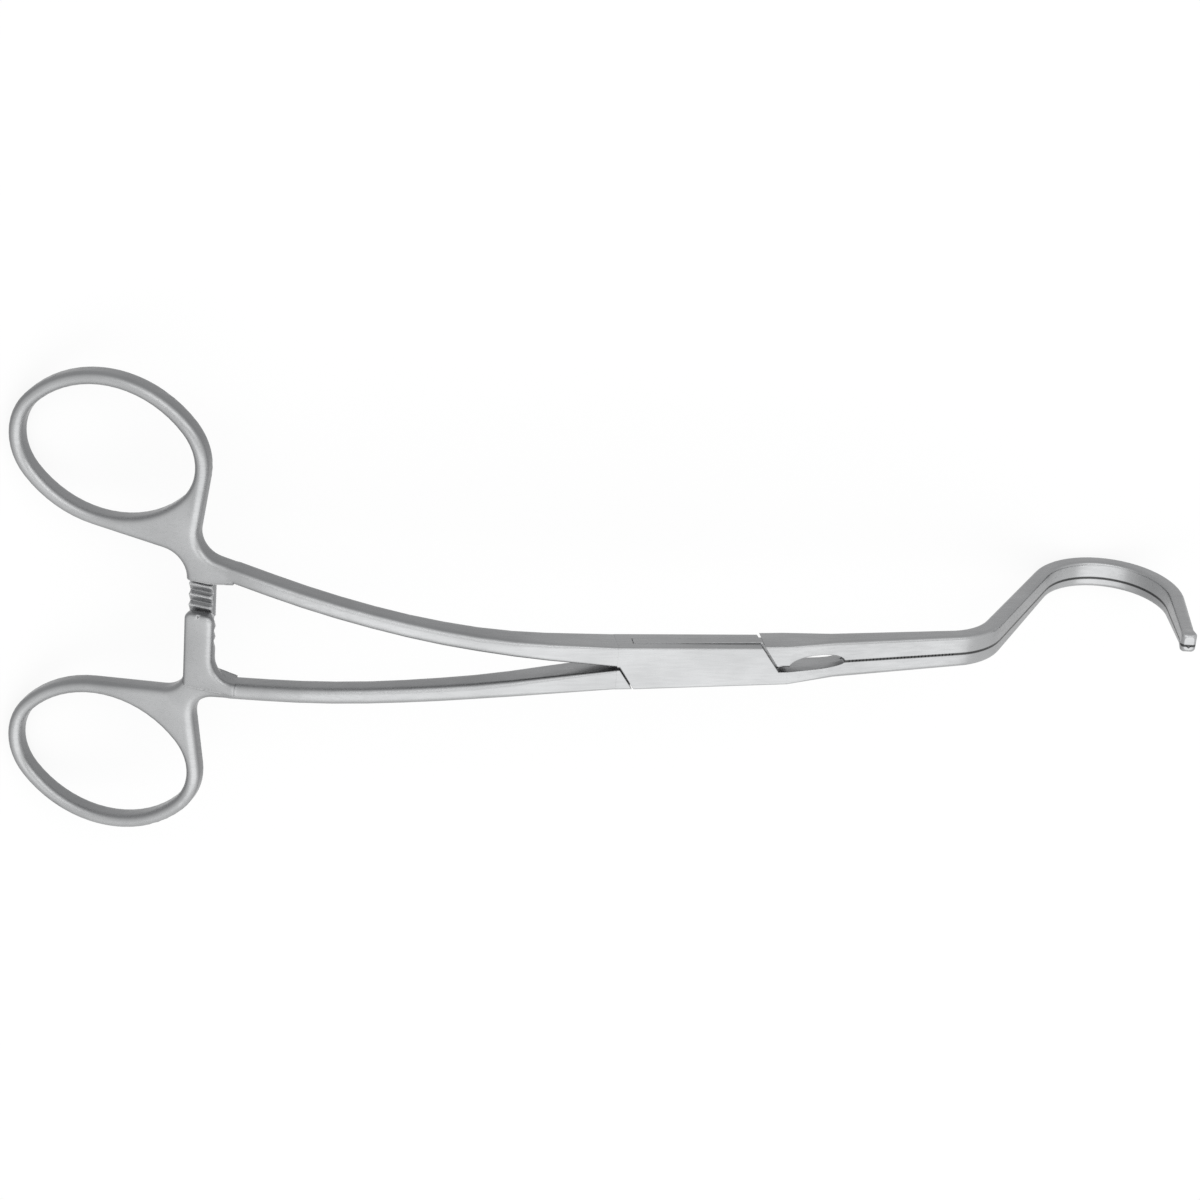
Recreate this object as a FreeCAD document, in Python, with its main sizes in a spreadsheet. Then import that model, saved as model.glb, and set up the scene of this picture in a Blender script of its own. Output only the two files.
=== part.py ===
import FreeCAD, Part
import math
import os
import Sketcher

# Vascular clamp with box lock, ratchet and hooked jaws, closed, lying on its rings and hook.
# Axes: +X from the rings to the jaws, +Y towards the upper ring, +Z up, away from the table.
# The origin is on the hinge axis, on the upper face of the box.
# Sizes are in millimetres and angles in degrees.

SIZES = [
    ("box_thickness", 5.0, "box lock, front face to back face"),
    ("box_half_width", 3.6, "box lock, hinge axis to either side"),
    ("box_reach", 12.0, "hinge axis to the root of a shank or jaw"),
    ("box_taper", 0.02, "narrowing of each side towards the jaws, mm for each mm"),
    ("root_length", 2.0, "full depth root of a shank or jaw past the box"),
    ("shoulder_gap", 0.35, "slit between the facing shoulders"),
    ("shoulder_lean", 33.0, "shoulder angle away from straight across"),
    ("rear_shoulder_past", 1.3, "rear shoulder past the box reach, on the seam line"),
    ("fore_shoulder_back", 0.1, "fore shoulder short of the box reach, on the seam line"),
    ("edge_round", 0.3, "softened long edges of the box"),
    ("slot_lean", 29.0, "slot end angle away from straight across"),
    ("tongue_thickness", 1.7, "tongue that crosses inside the slot"),
    ("tongue_inset", 0.05, "tongue flank below the side of the box"),
    ("slot_clearance", 0.06, "running gap on each face of the tongue"),
    ("slot_end_gap", 0.15, "gap between the tongue and the slot ends"),
    ("pin_radius", 1.9, "hinge pin shaft"),
    ("pin_clearance", 0.04, "radial running gap in the tongue"),
    ("pin_head_radius", 2.5, "riveted end, ground flush"),
    ("pin_head_depth", 0.7, "countersink depth of the riveted end"),
    ("rest_depth", 30.5, "hinge middle plane down to the table"),
    ("shank_root_offset", 2.05, "shank middle line off the seam at its root"),
    ("shank_root_width", 3.5, "shank width at its root"),
    ("shank_root_slope", 0.075, "shank spread at its root, mm for each mm"),
    ("shank_slope", 0.16, "shank spread past its curved stretch"),
    ("root_step", 0.02, "shank faces below the faces of the box at the root"),
    ("root_sink", 0.1, "shank's buried end inside the box, below its faces"),
    ("shank_curved", 36.0, "curved stretch of the shank"),
    ("shank_taper", 20.0, "stretch over which the shank narrows"),
    ("shank_width", 2.85, "shank width along the handle"),
    ("shank_thickness", 3.7, "shank thickness at the ring"),
    ("shank_round", 0.95, "corner radius of the shank"),
    ("handle_rise", 1.5, "rise of the shank behind the box"),
    ("handle_straight", 11.05, "straight run of the shank behind the box"),
    ("handle_bend_radius", 92.0, "side bend of the handle"),
    ("handle_bend_angle", 26.5, "drop angle of the ring end"),
    ("ring_half_length", 14.75, "finger opening, half length"),
    ("ring_half_width", 11.15, "finger opening, half width"),
    ("ring_end_radius", 8.3, "finger opening, arc at either end"),
    ("ring_band", 2.25, "ring rim, radial"),
    ("ring_thickness", 3.5, "ring rim, through the ring"),
    ("ring_round", 1.05, "corner radius of the ring rim"),
    ("ring_offset", 27.45, "seam plane to the middle of a ring"),
    ("neck_length", 7.3, "ring opening end to the start of the ring plate"),
    ("neck_round", 4.0, "concave corner between ring and shank"),
    ("web_round", 4.5, "concave corner between ring and ratchet arm"),
    ("shank_sink", 6.0, "shank end sunk into the ring plate"),
    ("arm_width", 3.95, "rear ratchet arm width"),
    ("arm_flank", 13.9, "ring middle to the near flank of the arm"),
    ("arm_sink", 2.6, "ratchet arm root sunk into the ring plate"),
    ("front_arm_width", 4.85, "front ratchet arm width"),
    ("rear_arm_round", 1.5, "inner corner of the rear arm"),
    ("front_arm_round", 3.6, "inner corner of the front arm"),
    ("arm_overlap", 2.4, "front arm tip past the seam plane"),
    ("arm_tip_gap", 0.7, "rear arm tip short of the seam plane"),
    ("arm_height", 2.0, "either arm's outer face off the ring middle plane"),
    ("arm_edge", 0.7, "rounded outer edges of the front arm"),
    ("arm_tip_round", 1.1, "rounded corners at the end of the front arm"),
    ("tooth_pitch", 1.9, "ratchet tooth pitch"),
    ("tooth_depth", 0.75, "ratchet tooth depth"),
    ("tooth_land", 0.35, "end of an arm to its first tooth"),
    ("tooth_gap", 0.12, "crest to crest gap of the two arms"),
    ("tip_notch", 0.7, "notch in the end of the front arm, width"),
    ("jaw_lead_angle", 4.9, "fall of the straight jaw"),
    ("jaw_lead_length", 29.5, "straight jaw from its root to the first bend"),
    ("waist_length", 8.0, "jaw root to the end of its thinning"),
    ("bend_radius", 10.3, "first bend of the jaw, middle line"),
    ("bend_angle", 48.2, "turn of the first bend"),
    ("hook_radius", 11.9, "hook, middle line"),
    ("hook_angle", 151.0, "turn of the hook"),
    ("stem_length", 10.4, "straight stem after the hook"),
    ("bulb_length", 1.7, "thickened end of the tip"),
    ("dome_length", 0.85, "radius of the rounded end of the tip"),
    ("waist_thickness", 3.5, "jaw thickness past the box"),
    ("bend_thickness", 2.75, "jaw thickness in the first bend"),
    ("hook_thickness", 2.45, "jaw thickness in the hook"),
    ("stem_thickness", 2.25, "jaw thickness behind the tip"),
    ("bulb_thickness", 2.6, "jaw thickness at the tip"),
    ("upper_root_height", 3.7, "upper jaw at the box, seam to back"),
    ("upper_waist_height", 3.6, "upper jaw past the box"),
    ("upper_bend_height", 3.15, "upper jaw in the first bend"),
    ("upper_hook_height", 2.95, "upper jaw in the hook"),
    ("upper_stem_height", 1.95, "upper jaw behind the tip"),
    ("upper_bulb_height", 2.15, "upper jaw at the tip"),
    ("upper_round", 0.65, "back edges of the upper jaw"),
    ("lower_root_height", 3.3, "lower jaw at the box, seam to back"),
    ("lower_waist_height", 3.0, "lower jaw past the box"),
    ("lower_bend_height", 2.5, "lower jaw in the first bend"),
    ("lower_hook_height", 1.75, "lower jaw in the hook"),
    ("lower_stem_height", 1.2, "lower jaw behind the tip"),
    ("lower_bulb_height", 1.35, "lower jaw at the tip"),
    ("lower_round", 0.75, "back edges of the lower jaw"),
    ("jaw_gap", 0.04, "gap between the working faces"),
    ("groove_width", 1.0, "groove along the lower working face"),
    ("groove_depth", 0.45, "groove depth"),
    ("ridge_clearance", 0.1, "ridge to groove gap"),
    ("relief_start", 2.3, "box reach to the start of the relief"),
    ("relief_length", 9.6, "open relief behind the working faces"),
    ("relief_height", 1.6, "relief in the upper jaw"),
    ("relief_drop", 1.0, "relief in the lower jaw"),
    ("serration_pitch", 0.6, "cross teeth of the working faces"),
    ("serration_depth", 0.2, "cross tooth depth"),
]

doc = FreeCAD.newDocument("vascular_clamp")
sheet = doc.addObject("Spreadsheet::Sheet", "sizes")
for row, (alias, value, note) in enumerate(SIZES, start=1):
    sheet.set("A%d" % row, alias)
    sheet.set("B%d" % row, str(value))
    sheet.setAlias("B%d" % row, alias)
    sheet.set("C%d" % row, note)
doc.recompute()

# Reach of cutting tools past what they cut, and of buried ends into what carries them
PAST = 9.0
BURIED = 1.0


def size(name):
    return float(sheet.get(name))


def vec(x, y, z):
    return FreeCAD.Vector(x, y, z)


def sine(angle):
    return math.sin(math.radians(angle))


def cosine(angle):
    return math.cos(math.radians(angle))


def tangent(angle):
    return math.tan(math.radians(angle))


def blend(start, end, share):
    share = min(max(share, 0.0), 1.0)
    return start + (end - start) * share


def unit(a, b):
    length = math.hypot(a, b)
    return a / length, b / length


# Paths in the side view: a point is x, z and the heading in degrees


def ahead(point, length):
    x, z, heading = point
    return x + length * cosine(heading), z + length * sine(heading), heading


def around(point, turn, radius):
    x, z, heading = point
    chord = 2 * radius * sine(abs(turn) / 2)
    middle = heading + turn / 2
    return x + chord * cosine(middle), z + chord * sine(middle), heading + turn


def to_space(point, y, lift):
    x, z, heading = point
    return vec(x - lift * sine(heading), y, z + lift * cosine(heading))


# Sections: corners are (y, lift, corner radius), joined in order into one closed wire


def section(point, corners):
    rounds = []
    for i, (y, lift, radius) in enumerate(corners):
        last = corners[i - 1]
        after = corners[(i + 1) % len(corners)]
        came = unit(y - last[0], lift - last[1])
        goes = unit(after[0] - y, after[1] - lift)
        enter = (y - radius * came[0], lift - radius * came[1])
        leave = (y + radius * goes[0], lift + radius * goes[1])
        middle = None
        if radius > 0:
            center = (enter[0] + radius * goes[0], enter[1] + radius * goes[1])
            out = unit(y - center[0], lift - center[1])
            middle = (center[0] + radius * out[0], center[1] + radius * out[1])
        rounds.append((enter, middle, leave))
    edges = []
    for i, (enter, middle, leave) in enumerate(rounds):
        if middle:
            arc = Part.Arc(to_space(point, *enter), to_space(point, *middle), to_space(point, *leave))
            edges.append(arc.toShape())
        following = rounds[(i + 1) % len(rounds)][0]
        edges.append(Part.makeLine(to_space(point, *leave), to_space(point, *following)))
    return Part.Wire(edges)


def bar_section(point, y_mid, width, thickness, radius):
    near, far = y_mid - width / 2, y_mid + width / 2
    half = thickness / 2
    corners = [(near, -half, radius), (far, -half, radius), (far, half, radius), (near, half, radius)]
    return section(point, corners)


# Handle: side path from the box to the ring, then the flat ring plate in its sloping plane

drop = size("handle_bend_angle")
band = size("ring_band")
ring_a = size("ring_half_length")
ring_b = size("ring_half_width")
ring_y = size("ring_offset")
ring_half = size("ring_thickness") / 2
ring_round = size("ring_round")
plate_start = ring_a + size("neck_length")
root_x = size("box_reach") + size("root_length")

# The ring middle stands at the height that puts the far rim on the table
rim_drop = (band / 2 - ring_round) * sine(drop) + (ring_half - ring_round) * cosine(drop) + ring_round
ring_z = -size("rest_depth") + (ring_a + band / 2) * sine(drop) + rim_drop

BEND_STATIONS = 8


def handle_path():
    points = [(-root_x, 0.0, 180.0 - size("handle_rise"))]
    points.append(ahead(points[0], size("handle_straight")))
    turn = drop + size("handle_rise")
    for _ in range(BEND_STATIONS):
        points.append(around(points[-1], turn / BEND_STATIONS, size("handle_bend_radius")))
    x, z, heading = points[-1]
    to_ring = (z - ring_z) / sine(drop)
    points.append(ahead(points[-1], to_ring - plate_start))
    runs = [0.0]
    for last, point in zip(points, points[1:]):
        runs.append(runs[-1] + math.hypot(point[0] - last[0], point[1] - last[1]))
    return points, runs, x - to_ring * cosine(drop)


handle, handle_run, ring_x = handle_path()


def shank_line(run):
    # The middle line leaves the seam ever faster over the curved stretch, then runs straight
    curved = size("shank_curved")
    bent = min(run, curved)
    gain = size("shank_root_slope") * bent
    gain += (size("shank_slope") - size("shank_root_slope")) * bent ** 2 / (2 * curved)
    return size("shank_root_offset") + gain + size("shank_slope") * (run - bent)


def shank():
    # The root starts inside the box block, and comes out of it a hair below the block's faces
    root_width = size("shank_root_width") - 2 * size("root_step")
    root_thick = size("box_thickness") - 2 * size("root_step")
    sunk = 2 * size("root_sink")
    start = (-root_x + size("edge_round"), 0.0, 0.0)
    wires = [bar_section(start, size("shank_root_offset"), root_width - sunk, root_thick - sunk,
                         size("edge_round"))]
    for (x, z, heading), run in zip(handle, handle_run):
        share = run / size("shank_taper")
        width = blend(root_width, size("shank_width"), share)
        thick = blend(root_thick, size("shank_thickness"), run / size("shank_curved"))
        radius = blend(size("edge_round"), size("shank_round"), share)
        wires.append(bar_section((x, z, heading - 180.0), shank_line(run), width, thick, radius))
    # The end sinks into the ring plate, a little smaller than the plate
    x, z, heading = ahead(handle[-1], size("shank_sink"))
    smaller = size("shank_round")
    wires.append(bar_section((x, z, heading - 180.0), shank_line(handle_run[-1] + size("shank_sink")),
                             size("shank_width") - smaller, size("ring_thickness") - smaller, smaller / 2))
    return Part.makeLoft(wires, True, True)


# Flat outlines in the ring plane: the first number runs from the ring middle towards the box


def flat(along, y):
    return vec(along, y, 0)


def round_corner(before, tip, after, radius):
    came = unit(tip[0] - before[0], tip[1] - before[1])
    goes = unit(after[0] - tip[0], after[1] - tip[1])
    turn = math.acos(came[0] * goes[0] + came[1] * goes[1])
    back = radius * math.tan(turn / 2)
    enter = (tip[0] - back * came[0], tip[1] - back * came[1])
    leave = (tip[0] + back * goes[0], tip[1] + back * goes[1])
    aim = unit(goes[0] - came[0], goes[1] - came[1])
    reach = radius / math.cos(turn / 2) - radius
    return enter, (tip[0] + reach * aim[0], tip[1] + reach * aim[1]), leave


def meet(p, slope_p, q, slope_q):
    along = (q[1] - p[1] + slope_p * p[0] - slope_q * q[0]) / (slope_p - slope_q)
    return along, p[1] + slope_p * (along - p[0])


def chain(parts):
    # A part is a line given by two points or an arc given by three
    edges = []
    for item in parts:
        points = [flat(*p) for p in item]
        edges.append(Part.Arc(*points).toShape() if len(item) == 3 else Part.makeLine(*points))
    return edges


# A finger ring is an oval of four arcs: end arcs and side arcs, each about its own centre

end_radius = size("ring_end_radius")
end_centre = ring_a - end_radius
side_radius = (end_centre ** 2 + ring_b ** 2 - end_radius ** 2) / (2 * (ring_b - end_radius))
side_centre = side_radius - ring_b
JOINT_DIRECTION = math.degrees(math.atan2(side_centre, end_centre))
NECK_DIRECTION = -8.0
WEB_DIRECTION = -97.0


def on_end(direction, growth, side):
    reach = end_radius + growth
    return side * end_centre + reach * cosine(direction), ring_y + reach * sine(direction)


def on_side(direction, growth, side):
    reach = side_radius + growth
    return reach * cosine(direction), ring_y - side * side_centre + reach * sine(direction)


def slope_at(direction):
    return -cosine(direction) / sine(direction)


def oval_arcs(growth, start, end):
    # Runs on from the direction start on the near end arc, over the far side, to end on the lower arc
    turn = JOINT_DIRECTION
    arcs = []
    for place, side, first, last in ((on_end, 1, start, turn), (on_side, 1, turn, 180 - turn),
                                     (on_end, -1, 180 - turn, 180 + turn), (on_side, -1, 180 + turn, end)):
        arcs.append([place(d, growth, side) for d in (first, (first + last) / 2, last)])
    return arcs


def shank_edge(along, side):
    run = handle_run[-1] + plate_start - along
    return shank_line(run) + side * size("shank_width") / 2


def same_span(edge, p, q):
    box = edge.BoundBox
    spans = (box.XMin - min(p[0], q[0]), box.XMax - max(p[0], q[0]),
             box.YMin - min(p[1], q[1]), box.YMax - max(p[1], q[1]))
    return max(abs(gap) for gap in spans) < 1e-4


def ring_plate():
    right = on_end(NECK_DIRECTION, band, 1)
    left = on_side(WEB_DIRECTION, band, -1)
    flank = size("arm_flank")
    outer_end = (plate_start, shank_edge(plate_start, 1))
    inner_end = (plate_start, shank_edge(plate_start, -1))
    neck_tip = meet(right, slope_at(NECK_DIRECTION), outer_end, -size("shank_slope"))
    neck = round_corner(outer_end, neck_tip, right, size("neck_round"))
    web_tip = (flank, left[1] + slope_at(WEB_DIRECTION) * (flank - left[0]))
    web = round_corner(left, web_tip, (flank, 0.0), size("web_round"))
    foot = web[2]
    heel = (flank + size("arm_width"), foot[1])
    straight = [(left, web[0]), web, (foot, heel), (heel, inner_end), (inner_end, outer_end)]
    outline = oval_arcs(band, NECK_DIRECTION, 360 + WEB_DIRECTION)
    outline += straight + [(outer_end, neck[0]), neck, (neck[2], right)]
    turn = JOINT_DIRECTION
    opening = oval_arcs(0.0, -turn, 360 - turn)
    face = Part.Face(Part.Wire(chain(outline))).cut(Part.Face(Part.Wire(chain(opening)))).Faces[0]
    plate = slab(face, -ring_half, ring_half)
    rims = [e for e in plate.Edges if e.BoundBox.ZLength < 1e-6]
    sharp = [(foot, heel), (inner_end, outer_end), (heel, inner_end)]
    smooth = [e for e in rims if not any(same_span(e, *ends) for ends in sharp)]
    return plate.makeFillet(ring_round, smooth), foot


def slab(face, low, high):
    body = face.extrude(vec(0, 0, high - low))
    body.translate(vec(0, 0, low))
    return body


def place_in_ring(shape):
    turned = shape.copy()
    turned.Placement = FreeCAD.Placement(vec(ring_x, 0, ring_z), FreeCAD.Rotation(vec(0, 1, 0), -drop))
    return turned


# Ratchet arms, still in the ring plane: the rear one on the upper ring, the front one on the lower


def arm_outline(flank, width, root_y, tip_y, rounding, tip_round):
    far = flank + width
    start = (plate_start, shank_edge(plate_start, -1))
    shoulder = (far, start[1] + size("shank_slope") * (plate_start - far))
    corner = round_corner((far, tip_y), shoulder, start, rounding)
    heel = corner[2]
    near_tip = round_corner((flank, root_y), (flank, tip_y), (far, tip_y), tip_round)
    far_tip = round_corner((flank, tip_y), (far, tip_y), (far, root_y), tip_round)
    foot = (heel[0], root_y)
    tip = [near_tip, (near_tip[2], far_tip[0]), far_tip]
    outline = [((flank, root_y), near_tip[0])] + tip
    outline += [(far_tip[2], corner[0]), corner, (heel, foot), (foot, (flank, root_y))]
    return Part.Face(Part.Wire(chain(outline)))


STEEP_SHARE = 0.2


def tooth_cutter(crest_y, crest_lift, way):
    # One valley: a steep flank that faces the ring and holds, then the ramp up to the next crest
    pitch = size("tooth_pitch")
    depth = size("tooth_depth") * way
    clear = crest_lift - depth
    steep = STEEP_SHARE * pitch
    corners = [(crest_y, clear), (crest_y, crest_lift), (crest_y + steep, crest_lift + depth),
               (crest_y + pitch, crest_lift), (crest_y + pitch, clear)]
    start = size("arm_flank") - PAST / 2
    wire = Part.makePolygon([vec(start, y, lift) for y, lift in corners + corners[:1]])
    return Part.Face(wire).extrude(vec(size("arm_width") + PAST, 0, 0))


REAR_TEETH = 4
FRONT_TEETH = 3


def rear_arm(foot_y):
    tip_y = size("arm_tip_gap")
    face = arm_outline(size("arm_flank"), size("arm_width"), foot_y + size("arm_sink"), tip_y,
                       size("rear_arm_round"), size("arm_edge") / 2)
    crest = -size("tooth_gap") / 2
    arm = slab(face, -size("arm_height"), crest)
    for count in range(REAR_TEETH):
        arm = arm.cut(tooth_cutter(tip_y + size("tooth_land") + count * size("tooth_pitch"), crest, -1))
    return arm


def front_arm(foot_y):
    # Drawn in the upper ring's layout, so its tip past the seam has a negative y
    tip_y = -size("arm_overlap")
    flank = size("arm_flank")
    width = size("front_arm_width")
    face = arm_outline(flank, width, foot_y + size("arm_sink"), tip_y, size("front_arm_round"),
                       size("arm_tip_round"))
    crest = size("tooth_gap") / 2
    top = size("arm_height")
    arm = slab(face, crest, top)
    edges = [e for e in arm.Edges if e.BoundBox.ZMin > top - 1e-3 and e.BoundBox.YMin < foot_y]
    arm = arm.makeFillet(size("arm_edge"), edges)
    for count in range(FRONT_TEETH):
        arm = arm.cut(tooth_cutter(tip_y + size("tooth_land") + count * size("tooth_pitch"), crest, 1))
    half = size("tip_notch") / 2
    middle = flank + width / 2
    notch = Part.makePolygon([flat(middle - half, tip_y), flat(middle + half, tip_y),
                              flat(middle, tip_y + 2 * half), flat(middle - half, tip_y)])
    return arm.cut(slab(Part.Face(notch), top - half, top + half))


def mirrored(shape):
    return shape.mirror(vec(0, 0, 0), vec(0, 1, 0))


# Jaws: a side path of runs and turns, with the section's thickness, height and rounding at each gauge

STEM_ROUND_SHARE = 0.3
DOME_ANGLES = (22, 44, 66)


def jaw_section(point, side, gauge):
    # The upper jaw carries the ridge, the lower jaw the groove that takes it
    thickness, height, radius = gauge
    half = thickness / 2
    face = side * size("jaw_gap") / 2
    back = side * height
    vee_half = size("groove_width") / 2
    apex = face - size("groove_depth")
    if side > 0:
        vee_half -= size("ridge_clearance")
        apex += size("ridge_clearance")
    return section(point, [(face, vee_half, 0), (face, half, 0), (back, half, radius), (back, -half, radius),
                           (face, -half, 0), (face, -vee_half, 0), (apex, 0, 0)])


def gauges(name):
    rounding = size(name + "_round")

    def gauge(place, thickness, radius):
        return thickness, size("%s_%s_height" % (name, place)), radius

    root = gauge("root", size("box_thickness"), size("edge_round"))
    waist = gauge("waist", size("waist_thickness"), rounding)
    bend = gauge("bend", size("bend_thickness"), rounding)
    hook = gauge("hook", size("hook_thickness"), rounding)
    stem = gauge("stem", size("stem_thickness"), min(rounding, STEM_ROUND_SHARE * size("stem_thickness")))
    bulb = gauge("bulb", size("bulb_thickness"), stem[2])
    return root, waist, bend, hook, stem, bulb


def dome(bulb):
    # The tip closes over a quarter round, in short steps
    reach = size("dome_length")
    steps = []
    last, before = 0.0, bulb
    for angle in DOME_ANGLES:
        inset = reach * (1 - cosine(angle))
        gauge = (bulb[0] - 2 * inset, bulb[1] - inset, bulb[2])
        steps.append((reach * sine(angle) - last, 0, before, gauge))
        last, before = reach * sine(angle), gauge
    return steps


def steep_run():
    # The straight run down to the hook is as long as puts the hook's crown on the table
    end = ahead((root_x, 0.0, -size("jaw_lead_angle")), size("jaw_lead_length"))
    end = around(end, -size("bend_angle"), size("bend_radius"))
    steep = size("jaw_lead_angle") + size("bend_angle")
    crown = size("hook_radius") * (1 - cosine(steep)) + size("hook_thickness") / 2
    return (end[1] + size("rest_depth") - crown) / sine(steep)


def turned_piece(point, side, gauge, turn, radius):
    across = 1 if turn > 0 else -1
    centre = to_space(point, 0, across * radius)
    return Part.Face(jaw_section(point, side, gauge)).revolve(centre, vec(0, 1, 0), -turn)


def jaw(side, name):
    root, waist, bend, hook, stem, bulb = gauges(name)
    start = size("box_reach") - 2 * size("root_length")
    point = (root_x, 0.0, -size("jaw_lead_angle"))
    pieces = [Part.makeLoft([jaw_section((start, 0.0, 0.0), side, root), jaw_section(point, side, root)],
                            True, True)]
    steps = [(size("waist_length"), 0, root, waist),
             (size("jaw_lead_length") - size("waist_length"), 0, waist, bend),
             (-size("bend_angle"), size("bend_radius"), bend, bend),
             (steep_run(), 0, bend, hook),
             (size("hook_angle"), size("hook_radius"), hook, hook),
             (size("stem_length"), 0, hook, stem),
             (size("bulb_length"), 0, stem, bulb)] + dome(bulb)
    for amount, radius, before, after in steps:
        if radius:
            pieces.append(turned_piece(point, side, before, amount, radius))
            point = around(point, amount, radius)
        else:
            end = ahead(point, amount)
            pieces.append(Part.makeLoft([jaw_section(point, side, before), jaw_section(end, side, after)],
                                        True, True))
            point = end
    return pieces[0].fuse(pieces[1:])


# Box lock: full blocks, shoulders and the thin tongue, drawn in plan


def flat_slab(corners, low, high):
    wire = Part.makePolygon([flat(*p) for p in corners + corners[:1]])
    return slab(Part.Face(wire), low, high)


lean = tangent(size("shoulder_lean"))
slit = size("shoulder_gap") / cosine(size("shoulder_lean"))
rear_shoulder = size("box_reach") + size("rear_shoulder_past")
fore_shoulder = size("box_reach") - size("fore_shoulder_back")
box_half = size("box_thickness") / 2
root_in = size("shank_root_offset") - size("shank_root_width") / 2
root_out = size("shank_root_offset") + size("shank_root_width") / 2
slot_lean = tangent(size("slot_lean"))


def box_side(x):
    return size("box_half_width") - size("box_taper") * x


def rear_line(y):
    return -rear_shoulder - lean * y


def fore_line(y):
    return fore_shoulder - lean * y


def soften(block):
    edges = []
    for edge in block.Edges:
        box = edge.BoundBox
        level = box.YLength < 0.1 * box.XLength and box.ZLength < 1e-6
        outer = max(abs(box.YMin), abs(box.YMax)) > 0.9 * size("box_half_width")
        if level and outer and box.XLength > size("root_length") / 2:
            edges.append(edge)
    return block.makeFillet(size("edge_round"), edges)


def box_block():
    rear_x = rear_line(-size("box_half_width"))
    fore_x = fore_line(size("box_half_width"))
    drop_y = -size("relief_drop")
    corners = [(-root_x, root_in), (rear_line(root_in), root_in), (rear_x, -box_side(rear_x)),
               (root_x, -size("lower_root_height")), (root_x, drop_y), (fore_line(drop_y), drop_y),
               (fore_x, box_side(fore_x)), (-root_x, root_out)]
    return soften(flat_slab(corners, -box_half, box_half))


def rear_block():
    corners = [(-root_x, -root_out), (rear_line(-root_out) - slit, -root_out),
               (rear_line(-root_in) - slit, -root_in), (-root_x, -root_in)]
    return soften(flat_slab(corners, -box_half, box_half))


def slot_end(y, gap):
    # Rear end of the slot, and by half a turn its fore end
    return -rear_shoulder + slot_lean * (y - root_in) + gap


def tongue():
    inset = size("tongue_inset")
    gap = size("slot_end_gap")
    side = box_side(-size("box_reach") + size("root_length")) - inset
    fore_side = size("upper_root_height") - inset
    low_side = box_side(size("box_reach")) - inset
    corners = [(-root_x - BURIED, -root_in), (-rear_shoulder + gap, 0.0),
               (slot_end(root_in, gap), root_in), (slot_end(side, gap), side),
               (fore_line(fore_side), fore_side), (root_x, fore_side), (root_x, size("relief_height") / 4),
               (-slot_end(root_in, gap), -root_in), (-slot_end(side, gap), -low_side),
               (-rear_shoulder + inset, -side), (-root_x - BURIED, -root_out + inset)]
    half = size("tongue_thickness") / 2
    return flat_slab(corners, -half, half)


def behind_fore_shoulder():
    corners = [(0.0, -PAST), (fore_line(-PAST) + slit, -PAST), (fore_line(PAST) + slit, PAST), (0.0, PAST)]
    return flat_slab(corners, -PAST, PAST)


# Working faces: relief behind them, and cross teeth on the straight run

TOOTH_SHARE = 0.28


def relief(side):
    start = size("box_reach") + size("relief_start")
    middle = start + size("relief_length") / 2
    height = size("relief_height") if side > 0 else size("relief_drop")
    oval = Part.Ellipse(flat(middle, 0), size("relief_length") / 2, height).toShape()
    tool = slab(Part.Face(Part.Wire([oval])), -PAST, PAST)
    if side < 0:
        back = size("box_reach") - BURIED
        open_run = [(back, -height), (middle, -height), (middle, BURIED), (back, BURIED)]
        tool = tool.fuse(flat_slab(open_run, -PAST, PAST))
    return tool


def cross_teeth(side):
    pitch = size("serration_pitch")
    first = size("relief_start") + size("relief_length") + pitch - size("root_length")
    count = int((size("jaw_lead_length") - first) / pitch)
    face = side * size("jaw_gap") / 2
    half = TOOTH_SHARE * pitch
    mouth = face - side * half
    corners = [(-half, mouth), (half, mouth), (0.0, face + side * size("serration_depth"))]
    tools = []
    for i in range(count):
        x, z, heading = ahead((root_x, 0.0, -size("jaw_lead_angle")), first + i * pitch)
        points = [vec(along, y, -PAST / 2) for along, y in corners + corners[:1]]
        tool = Part.Face(Part.makePolygon(points)).extrude(vec(0, 0, PAST))
        tool.Placement = FreeCAD.Placement(vec(x, 0, z), FreeCAD.Rotation(vec(0, 1, 0), -heading))
        tools.append(tool)
    return Part.makeCompound(tools)


def forge_box_half():
    plate, foot = ring_plate()
    upper_handle = shank().fuse([place_in_ring(plate), place_in_ring(rear_arm(foot[1]))])
    lower_jaw = jaw(-1, "lower")
    inside = size("box_reach") + size("root_length") / 2
    hidden = [(0, -PAST), (inside, -PAST), (inside, PAST), (0, PAST)]
    lower_jaw = lower_jaw.cut(flat_slab(hidden, -PAST, PAST))
    lower_jaw = lower_jaw.cut(cross_teeth(-1)).cut(relief(-1))
    return upper_handle.fuse([box_block(), lower_jaw]).removeSplitter()


def forge_tongue_half():
    plate, foot = ring_plate()
    handle_side = mirrored(shank().fuse([place_in_ring(plate), place_in_ring(front_arm(foot[1]))]))
    upper_jaw = jaw(1, "upper").cut(behind_fore_shoulder()).cut(cross_teeth(1)).cut(relief(1))
    return handle_side.fuse([rear_block(), tongue(), upper_jaw]).removeSplitter()


box_blank = doc.addObject("Part::Feature", "box_blank")
box_blank.Shape = forge_box_half()
tongue_blank = doc.addObject("Part::Feature", "tongue_blank")
tongue_blank.Shape = forge_tongue_half()


# Machined features: slot and pin seat in the box half, bore in the tongue half, and the pin


def plane_of(body, role):
    return [item for item in body.Origin.OriginFeatures if item.Role == role][0]


def sketch_on(body, name, role):
    sketch = body.newObject("Sketcher::SketchObject", name)
    sketch.AttachmentSupport = (plane_of(body, role), [""])
    sketch.MapMode = "FlatFace"
    return sketch


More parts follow.
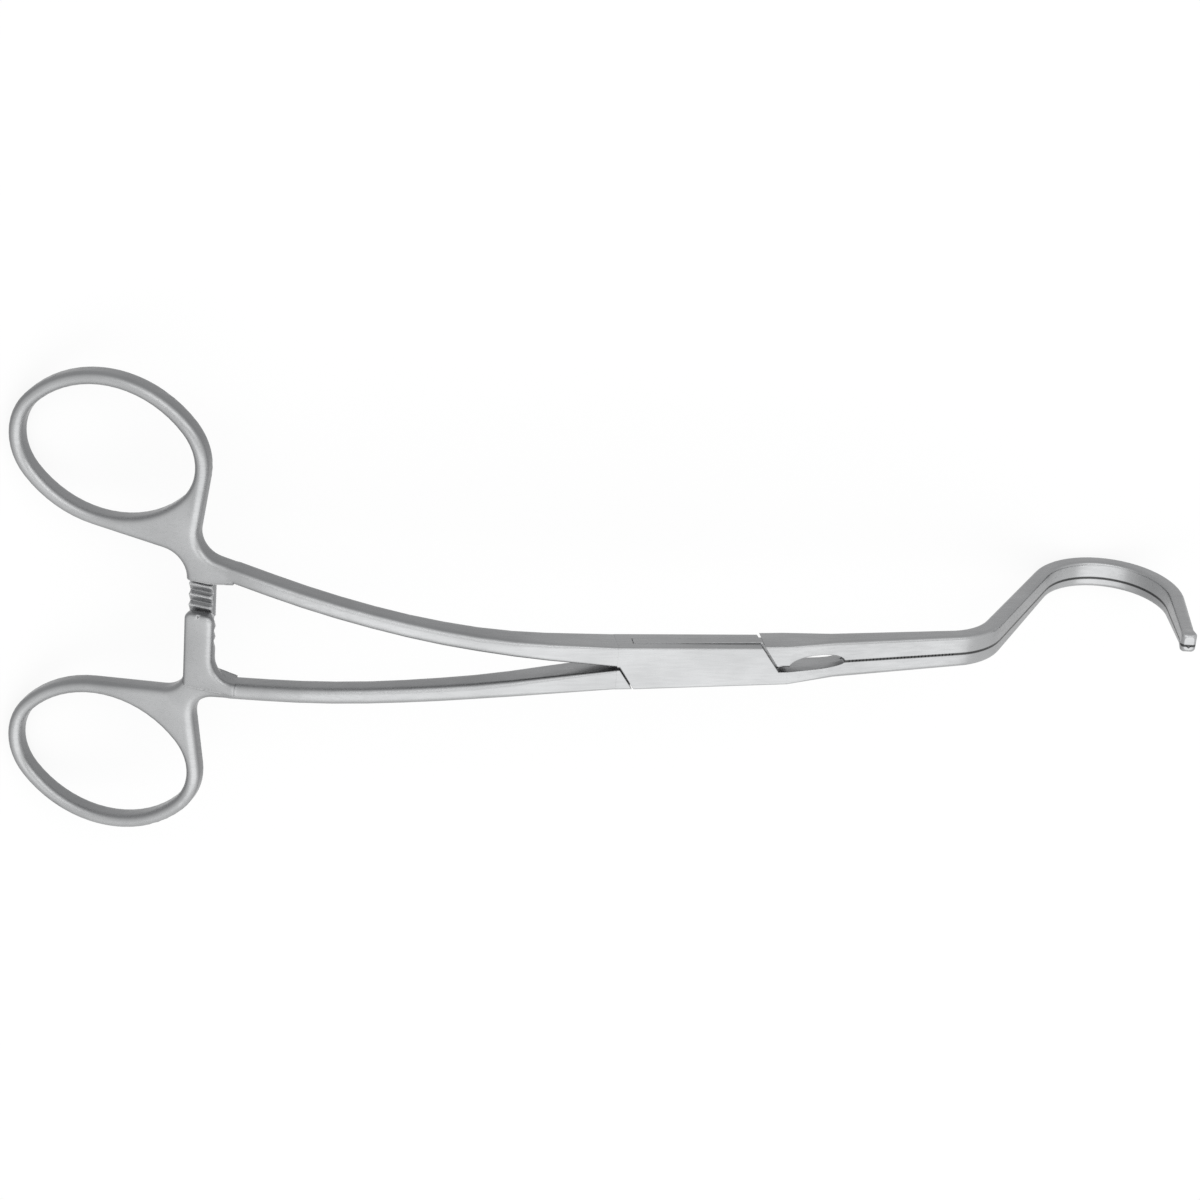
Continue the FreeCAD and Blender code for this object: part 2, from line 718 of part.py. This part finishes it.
def draw(sketch, corners):
    # Every corner is held from the sketch origin by two sizes of the sheet
    values = [(float(sketch.evalExpression(x)), float(sketch.evalExpression(y))) for x, y in corners]
    count = len(corners)
    for i in range(count):
        sketch.addGeometry(Part.LineSegment(flat(*values[i]), flat(*values[(i + 1) % count])), False)
    for i in range(count):
        sketch.addConstraint(Sketcher.Constraint("Coincident", i, 2, (i + 1) % count, 1))
    for i, (x, y) in enumerate(corners):
        for kind, text, value in (("DistanceX", x, values[i][0]), ("DistanceY", y, values[i][1])):
            index = sketch.addConstraint(Sketcher.Constraint(kind, -1, 1, i, 1, value))
            sketch.setExpression("Constraints[%d]" % index, text)


REAR = "(sizes.box_reach + sizes.rear_shoulder_past)"
INNER = "(sizes.shank_root_offset - sizes.shank_root_width / 2)"
OUTER = "(sizes.box_half_width + 1)"
END_AT_SIDE = "(%s - tan(sizes.slot_lean * 1deg) * (%s - %s))" % (REAR, OUTER, INNER)
SLOT = [("-" + REAR, INNER),
        ("-" + END_AT_SIDE, OUTER),
        ("sizes.box_reach + 1", OUTER),
        (REAR, "-sizes.relief_drop"),
        (REAR, "-" + INNER),
        (END_AT_SIDE, "-" + OUTER),
        ("-" + REAR, "-" + OUTER)]
PIN_PROFILE = [("0", "-sizes.box_thickness / 2"),
               ("sizes.pin_head_radius", "-sizes.box_thickness / 2"),
               ("sizes.pin_radius", "-sizes.box_thickness / 2 + sizes.pin_head_depth"),
               ("sizes.pin_radius", "sizes.box_thickness / 2 - sizes.pin_head_depth"),
               ("sizes.pin_head_radius", "sizes.box_thickness / 2"),
               ("0", "sizes.box_thickness / 2")]

box_body = doc.addObject("PartDesign::Body", "box_half")
box_body.BaseFeature = box_blank
doc.recompute()
slot_plan = sketch_on(box_body, "slot_plan", "XY_Plane")
draw(slot_plan, SLOT)
slot = box_body.newObject("PartDesign::Pocket", "slot")
slot.Profile = slot_plan
slot.Midplane = True
slot.setExpression("Length", "sizes.tongue_thickness + 2 * sizes.slot_clearance")
doc.recompute()
seat_profile = sketch_on(box_body, "seat_profile", "XZ_Plane")
draw(seat_profile, PIN_PROFILE)
seat = box_body.newObject("PartDesign::Groove", "pin_seat")
seat.Profile = seat_profile
seat.ReferenceAxis = (seat_profile, ["V_Axis"])
seat.Angle = 360
doc.recompute()

tongue_body = doc.addObject("PartDesign::Body", "tongue_half")
tongue_body.BaseFeature = tongue_blank
doc.recompute()
bore_plan = sketch_on(tongue_body, "bore_plan", "XY_Plane")
bore_start = size("pin_radius") + size("pin_clearance")
bore_plan.addGeometry(Part.Circle(flat(0, 0), vec(0, 0, 1), bore_start), False)
bore_plan.addConstraint(Sketcher.Constraint("Coincident", 0, 3, -1, 1))
bore_radius = bore_plan.addConstraint(Sketcher.Constraint("Radius", 0, size("pin_radius")))
bore_plan.setExpression("Constraints[%d]" % bore_radius, "sizes.pin_radius + sizes.pin_clearance")
bore = tongue_body.newObject("PartDesign::Pocket", "pin_bore")
bore.Profile = bore_plan
bore.Midplane = True
bore.setExpression("Length", "sizes.box_thickness")
doc.recompute()

pin_body = doc.addObject("PartDesign::Body", "pivot_pin")
pin_profile = sketch_on(pin_body, "pin_profile", "XZ_Plane")
draw(pin_profile, PIN_PROFILE)
pin = pin_body.newObject("PartDesign::Revolution", "riveted_pin")
pin.Profile = pin_profile
pin.ReferenceAxis = (pin_profile, ["V_Axis"])
pin.Angle = 360
doc.recompute()

# The row frame has its origin on the upper face of the box
bodies = (box_body, tongue_body, pin_body)
for body in bodies:
    body.Label = body.Name
    body.Placement = FreeCAD.Placement(vec(0, 0, -box_half), FreeCAD.Rotation())
doc.recompute()

for item in doc.Objects:
    if "Invalid" in item.State or "Error" in item.State:
        raise RuntimeError("%s: %s" % (item.Name, item.State))
os.makedirs("parts", exist_ok=True)
for body in bodies:
    shape = body.Shape
    if shape.isNull() or not shape.isValid() or len(shape.Solids) != 1:
        raise RuntimeError("%s is not one valid solid" % body.Name)
    shape.exportStep("parts/%s.step" % body.Name)
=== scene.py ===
import math

import bpy
from mathutils import Matrix, Vector


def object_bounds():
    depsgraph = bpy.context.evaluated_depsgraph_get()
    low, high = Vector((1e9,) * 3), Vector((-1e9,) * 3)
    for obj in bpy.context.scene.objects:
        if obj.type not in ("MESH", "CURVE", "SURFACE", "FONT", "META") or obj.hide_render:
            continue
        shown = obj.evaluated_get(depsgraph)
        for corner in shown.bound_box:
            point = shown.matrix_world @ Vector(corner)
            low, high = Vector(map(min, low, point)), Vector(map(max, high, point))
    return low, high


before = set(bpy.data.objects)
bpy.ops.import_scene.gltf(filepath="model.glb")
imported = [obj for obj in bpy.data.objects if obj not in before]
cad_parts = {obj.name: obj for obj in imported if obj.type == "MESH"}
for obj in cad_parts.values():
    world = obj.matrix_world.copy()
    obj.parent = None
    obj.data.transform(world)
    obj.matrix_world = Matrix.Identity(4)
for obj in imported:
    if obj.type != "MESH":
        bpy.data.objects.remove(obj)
cad_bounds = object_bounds()
scene = bpy.context.scene

# Lengths are in metres and angles in degrees. X runs from the rings to the jaws and Z up,
# with the hinge axis at the origin

# The skin: points this near are one point, and edges gentler than this angle are smooth
MERGE_UNDER = 0.000004
SMOOTH_UNDER = 26.0

# The steel's colours with painted light and shade: upward faces painted lighter, flanks painted
# darker, the handle's flanks darker still, and a painted highlight for the ratchet crests; and the
# upward tilt at which a face counts as shaded flank or as lit upward face
UPWARD_LIT_COLOR = (0.43, 0.435, 0.44, 1)
FLANK_SHADE_COLOR = (0.285, 0.288, 0.293, 1)
HANDLE_FLANK_SHADE_COLOR = (0.215, 0.218, 0.223, 1)
# Painted highlight colour for the ratchet crests
CREST_HIGHLIGHT_COLOR = (0.70, 0.705, 0.71, 1)
FLANK_SHADE_NORMAL = 0.5
UPWARD_LIT_NORMAL = 0.985

# The steel's surface: cloudy tone, drawn grain and the spread of the noise behind both
NOISE_SPREAD = (0.3, 0.7)
MOTTLE_SCALE = 90.0
MOTTLE_DETAIL = 4.0
MOTTLE_TONES = (0.93, 1.05)
GRAIN_SCALE = (240.0, 2400.0, 2400.0)
GRAIN_DETAIL = 3.0
GRAIN_ROUGHNESS = (0.24, 0.36)
GRAIN_HEIGHT = 0.000008
GRAIN_STRENGTH = 0.5

# Places along the clamp, and the pin's rim round the hinge axis
HANDLE_END = -0.040
BOX_START = -0.014
RATCHET_END = -0.0758
RATCHET_FADE = 0.0006
PIN_RIM = 0.0028
PIN_FADE = 0.0003

# Rounded edges, painted shade in crevices and painted highlights on crests, each with its reach
# and its openness
PROBE_RAYS = 6
HANDLE_SOFT = 0.0009
BOX_SOFT = 0.0002
CREVICE_REACH = 0.0007
CREVICE_OPEN = (0.1, 0.6)
CREVICE_SHADE_TONE = 0.4
CREST_REACH = 0.0005
CREST_OPEN = (0.45, 0.85)

# The dark line of painted shade along the jaws' seam, which leaves out the working faces that look
# sideways
SEAM_START = 0.0125
SEAM_FADE = 0.001
SEAM_HALF = 0.00015
SEAM_SHADE_TONE = 0.18
SEAM_SIDEWAYS = (0.5, 0.9)

# The photograph's viewpoint
CAMERA_AT = Vector((-0.1197, 0.2584, 0.4718))
CAMERA_RIGHT = Vector((0.98210, 0.07903, 0.17100))
CAMERA_UP = Vector((0.00880, 0.88749, -0.46074))
CAMERA_NEAREST = 0.01
PHOTO_WIDTH = 1200
FOCAL_PIXELS = 3440.5
SENSOR = 36.0

# The floor and the surround
FLOOR_GAP = 0.00002
FLOOR_SIZE = 6.0
FLOOR_COLOR = (0.97, 0.97, 0.97, 1)
FLOOR_GLOW = 0.85
SURROUND_LIGHT = (0.8, 0.8, 0.8, 1)
WHITE = (1, 1, 1, 1)

# The key light stands where the box face mirrors it to the camera
LAMP_DISTANCE = 1.1
KEY_TOWARDS = Vector((-0.02, -0.45, 0.88))
KEY_SIZE = (1.8, 0.9)
KEY_RADIANCE = 0.7

# The edge light is mirrored by rounded edges between the upper faces and the far flanks
EDGE_TOWARDS = Vector((-0.05, 0.56, 0.80))
EDGE_SIZE = (1.6, 0.5)
EDGE_RADIANCE = 1.0


# Node helpers: an input takes another node's output or a plain value


def feed(tree, socket, value):
    if isinstance(value, bpy.types.NodeSocket):
        tree.links.new(value, socket)
    else:
        socket.default_value = value


def add(tree, kind, inputs, **settings):
    node = tree.nodes.new(kind)
    for name, value in settings.items():
        setattr(node, name, value)
    for name, value in inputs.items():
        feed(tree, node.inputs[name], value)
    return node


def combine(tree, operation, *values):
    node = add(tree, "ShaderNodeMath", {}, operation=operation)
    for socket, value in zip(node.inputs, values):
        feed(tree, socket, value)
    return node.outputs[0]


def ease(tree, source, limits, results):
    # Eases one result into the other between two limits
    inputs = {
        "Value": source,
        "From Min": limits[0],
        "From Max": limits[1],
        "To Min": results[0],
        "To Max": results[1],
    }
    node = add(tree, "ShaderNodeMapRange", inputs, interpolation_type="SMOOTHSTEP")
    return node.outputs["Result"]


def mix(tree, factor, first, second, blend="MIX"):
    inputs = {"Factor": factor, "A": first, "B": second}
    return add(tree, "ShaderNodeMix", inputs, data_type="RGBA", blend_type=blend).outputs["Result"]


def mix_shaders(tree, factor, first, second):
    node = tree.nodes.new("ShaderNodeMixShader")
    for socket, value in zip(node.inputs, (factor, first, second)):
        tree.links.new(value, socket)
    return node.outputs["Shader"]


# Smooth skin: tangent faces of the solid share their normals, real edges stay sharp


def smooth_group():
    group = bpy.data.node_groups.new("smooth_skin", "GeometryNodeTree")
    group.interface.new_socket("Geometry", in_out="INPUT", socket_type="NodeSocketGeometry")
    group.interface.new_socket("Geometry", in_out="OUTPUT", socket_type="NodeSocketGeometry")
    source = group.nodes.new("NodeGroupInput")
    merged = {"Geometry": source.outputs[0], "Distance": MERGE_UNDER}
    merge = add(group, "GeometryNodeMergeByDistance", merged)
    angle = group.nodes.new("GeometryNodeInputMeshEdgeAngle")
    limit = {"A": angle.outputs["Unsigned Angle"], "B": math.radians(SMOOTH_UNDER)}
    gentle = add(group, "FunctionNodeCompare", limit, data_type="FLOAT", operation="LESS_EQUAL")
    shaded = {"Geometry": merge.outputs["Geometry"]}
    faces = add(group, "GeometryNodeSetShadeSmooth", shaded, domain="FACE")
    creased = {"Geometry": faces.outputs["Geometry"], "Shade Smooth": gentle.outputs["Result"]}
    edges = add(group, "GeometryNodeSetShadeSmooth", creased, domain="EDGE")
    add(group, "NodeGroupOutput", {"Geometry": edges.outputs["Geometry"]})
    return group


def smooth(node, group):
    own = node.data.attributes.get("custom_normal")
    if own:
        node.data.attributes.remove(own)
    modifier = node.modifiers.new("smooth_skin", "NODES")
    modifier.node_group = group


# Satin steel: upward faces painted bright and flanks painted dark as light and shade, painted
# highlights on the ratchet crests, drawn grain, and painted shade in crevices and along the seam


def hinge_distance(tree, place):
    inputs = {0: place.outputs["Object"], 1: (1.0, 1.0, 0.0)}
    plan = add(tree, "ShaderNodeVectorMath", inputs, operation="MULTIPLY")
    length = {0: plan.outputs["Vector"]}
    return add(tree, "ShaderNodeVectorMath", length, operation="LENGTH").outputs["Value"]


def openness(tree, reach, inside):
    # How open the surface is within reach, outside it for hollows and inside it for crests
    probe = {"Distance": reach}
    node = add(tree, "ShaderNodeAmbientOcclusion", probe, inside=inside, samples=PROBE_RAYS)
    return node.outputs["AO"]


def painted_light_and_shade(tree, spot, facing):
    # Painted light and shade: faces that point upward, like the box's face, are painted brighter
    # than the flanks
    on_handle = ease(tree, spot["X"], (HANDLE_END, BOX_START), (1.0, 0.0))
    flank_shade = mix(tree, on_handle, FLANK_SHADE_COLOR, HANDLE_FLANK_SHADE_COLOR)
    level = combine(tree, "ABSOLUTE", facing["Z"])
    lit_share = ease(tree, level, (FLANK_SHADE_NORMAL, UPWARD_LIT_NORMAL), (0.0, 1.0))
    tone = mix(tree, lit_share, flank_shade, UPWARD_LIT_COLOR)

    # The crests of the ratchet catch the light as a painted highlight: their convex edges are
    # painted lighter
    crest_highlight = ease(tree, openness(tree, CREST_REACH, True), CREST_OPEN, (1.0, 0.0))
    fade = (RATCHET_END, RATCHET_END + RATCHET_FADE)
    at_ratchet = ease(tree, spot["X"], fade, (1.0, 0.0))
    return mix(tree, combine(tree, "MULTIPLY", crest_highlight, at_ratchet), tone, CREST_HIGHLIGHT_COLOR)


def painted_crevice_shade(tree, from_hinge):
    # Crevices are darkened with painted shade, but the pin is ground flush and no line shows round
    # it
    crevice_shade = ease(tree, openness(tree, CREVICE_REACH, False), CREVICE_OPEN, (CREVICE_SHADE_TONE, 1.0))
    on_pin = ease(tree, from_hinge, (PIN_RIM, PIN_RIM + PIN_FADE), (1.0, 0.0))
    return combine(tree, "MAXIMUM", crevice_shade, on_pin)


def painted_seam_shade(tree, spot, facing):
    # The broken inner edges of the working faces read as one dark line, painted on as shade along
    # the seam
    across = combine(tree, "ABSOLUTE", spot["Y"])
    line = ease(tree, across, (SEAM_HALF, 2 * SEAM_HALF), (SEAM_SHADE_TONE, 1.0))
    behind = ease(tree, spot["X"], (SEAM_START, SEAM_START + SEAM_FADE), (1.0, 0.0))
    sideways = combine(tree, "ABSOLUTE", facing["Y"])
    working = ease(tree, sideways, SEAM_SIDEWAYS, (0.0, 1.0))
    return combine(tree, "MAXIMUM", line, combine(tree, "MAXIMUM", behind, working))


def cloudy(tree, place):
    inputs = {
        "Vector": place.outputs["Object"],
        "Scale": MOTTLE_SCALE,
        "Detail": MOTTLE_DETAIL,
    }
    cloud = add(tree, "ShaderNodeTexNoise", inputs)
    return ease(tree, cloud.outputs["Fac"], NOISE_SPREAD, MOTTLE_TONES)


def drawn_grain(tree, place):
    stretched = {"Vector": place.outputs["Object"], "Scale": GRAIN_SCALE}
    stretch = add(tree, "ShaderNodeMapping", stretched)
    inputs = {"Vector": stretch.outputs["Vector"], "Scale": 1.0, "Detail": GRAIN_DETAIL}
    return add(tree, "ShaderNodeTexNoise", inputs).outputs["Fac"]


def worked_surface(tree, spot, from_hinge, grain):
    # Hand polishing rounds the handle's edges more than the box's and the jaws'
    reach = ease(tree, spot["X"], (HANDLE_END, BOX_START), (HANDLE_SOFT, BOX_SOFT))
    off_pin = ease(tree, from_hinge, (PIN_RIM, PIN_RIM + PIN_FADE), (0.0, 1.0))
    radius = {"Radius": combine(tree, "MULTIPLY", reach, off_pin)}
    soft = add(tree, "ShaderNodeBevel", radius, samples=PROBE_RAYS)
    inputs = {
        "Strength": GRAIN_STRENGTH,
        "Distance": GRAIN_HEIGHT,
        "Height": grain,
        "Normal": soft.outputs["Normal"],
    }
    return add(tree, "ShaderNodeBump", inputs).outputs["Normal"]


def steel():
    material = bpy.data.materials.new("satin_steel")
    material.use_nodes = True
    tree = material.node_tree
    place = tree.nodes.new("ShaderNodeTexCoord")
    spot = add(tree, "ShaderNodeSeparateXYZ", {"Vector": place.outputs["Object"]}).outputs
    facing = add(tree, "ShaderNodeSeparateXYZ", {"Vector": place.outputs["Normal"]}).outputs
    from_hinge = hinge_distance(tree, place)
    # Painted shade in crevices and along the seam, with the cloudy tone, darkens the painted lit
    # and shaded face colour
    painted_crevice_and_seam_shade = combine(tree, "MULTIPLY", painted_crevice_shade(tree, from_hinge), painted_seam_shade(tree, spot, facing))
    mottle_and_shade = combine(tree, "MULTIPLY", cloudy(tree, place), painted_crevice_and_seam_shade)
    color = mix(tree, 1.0, painted_light_and_shade(tree, spot, facing), mottle_and_shade, "MULTIPLY")
    grain = drawn_grain(tree, place)
    shader = tree.nodes["Principled BSDF"]
    feed(tree, shader.inputs["Metallic"], 1.0)
    feed(tree, shader.inputs["Base Color"], color)
    feed(tree, shader.inputs["Roughness"], ease(tree, grain, NOISE_SPREAD, GRAIN_ROUGHNESS))
    feed(tree, shader.inputs["Normal"], worked_surface(tree, spot, from_hinge, grain))
    return material


def wear(node, material):
    for slot in node.material_slots:
        slot.material = material


# Stage: a white floor that keeps the shadow, a white surround, a key light and an edge light


def seen_directly(tree):
    path = tree.nodes.new("ShaderNodeLightPath").outputs
    seen = combine(tree, "MAXIMUM", path["Is Camera Ray"], path["Is Glossy Ray"])
    return combine(tree, "MAXIMUM", seen, path["Is Transmission Ray"])


def floor_material():
    material = bpy.data.materials.new("floor_white")
    material.use_nodes = True
    tree = material.node_tree
    tree.nodes.clear()
    matt = add(tree, "ShaderNodeBsdfDiffuse", {"Color": FLOOR_COLOR})
    glow = add(tree, "ShaderNodeEmission", {"Color": WHITE})
    share = combine(tree, "MULTIPLY", seen_directly(tree), FLOOR_GLOW)
    surface = mix_shaders(tree, share, matt.outputs["BSDF"], glow.outputs["Emission"])
    add(tree, "ShaderNodeOutputMaterial", {"Surface": surface})
    return material


def build_floor(level):
    bpy.ops.mesh.primitive_plane_add(size=FLOOR_SIZE, location=(0, 0, level))
    floor = bpy.context.object
    floor.name = "floor"
    floor.data.materials.append(floor_material())


def build_world():
    world = bpy.data.worlds.new("surround")
    scene.world = world
    world.use_nodes = True
    tree = world.node_tree
    tree.nodes.clear()
    lighting = add(tree, "ShaderNodeBackground", {"Color": SURROUND_LIGHT})
    shown = add(tree, "ShaderNodeBackground", {"Color": WHITE})
    pair = (lighting.outputs["Background"], shown.outputs["Background"])
    surface = mix_shaders(tree, seen_directly(tree), *pair)
    add(tree, "ShaderNodeOutputWorld", {"Surface": surface})


def build_lamp(name, towards, sides, radiance):
    light = bpy.data.lights.new(name, "AREA")
    light.shape = "RECTANGLE"
    light.size, light.size_y = sides
    light.energy = radiance * math.pi * light.size * light.size_y
    lamp = bpy.data.objects.new(name, light)
    back = towards.normalized()
    up = back.cross(Vector((1, 0, 0))).normalized()
    lamp.location = back * LAMP_DISTANCE
    lamp.rotation_euler = Matrix((up.cross(back), up, back)).transposed().to_euler()
    scene.collection.objects.link(lamp)


def build_camera():
    camera = bpy.data.cameras.new("photo_view")
    camera.sensor_width = SENSOR
    camera.lens = FOCAL_PIXELS / PHOTO_WIDTH * SENSOR
    camera.clip_start = CAMERA_NEAREST
    holder = bpy.data.objects.new("photo_view", camera)
    back = CAMERA_RIGHT.cross(CAMERA_UP)
    turn = Matrix((CAMERA_RIGHT, CAMERA_UP, back)).transposed().to_4x4()
    holder.matrix_world = Matrix.Translation(CAMERA_AT) @ turn
    scene.collection.objects.link(holder)
    scene.camera = holder


satin = steel()
skin = smooth_group()
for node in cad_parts.values():
    smooth(node, skin)
    wear(node, satin)

build_floor(cad_bounds[0][2] - FLOOR_GAP)
build_world()
build_lamp("key", KEY_TOWARDS, KEY_SIZE, KEY_RADIANCE)
build_lamp("edge_light", EDGE_TOWARDS, EDGE_SIZE, EDGE_RADIANCE)
build_camera()
scene.view_settings.view_transform = "Standard"
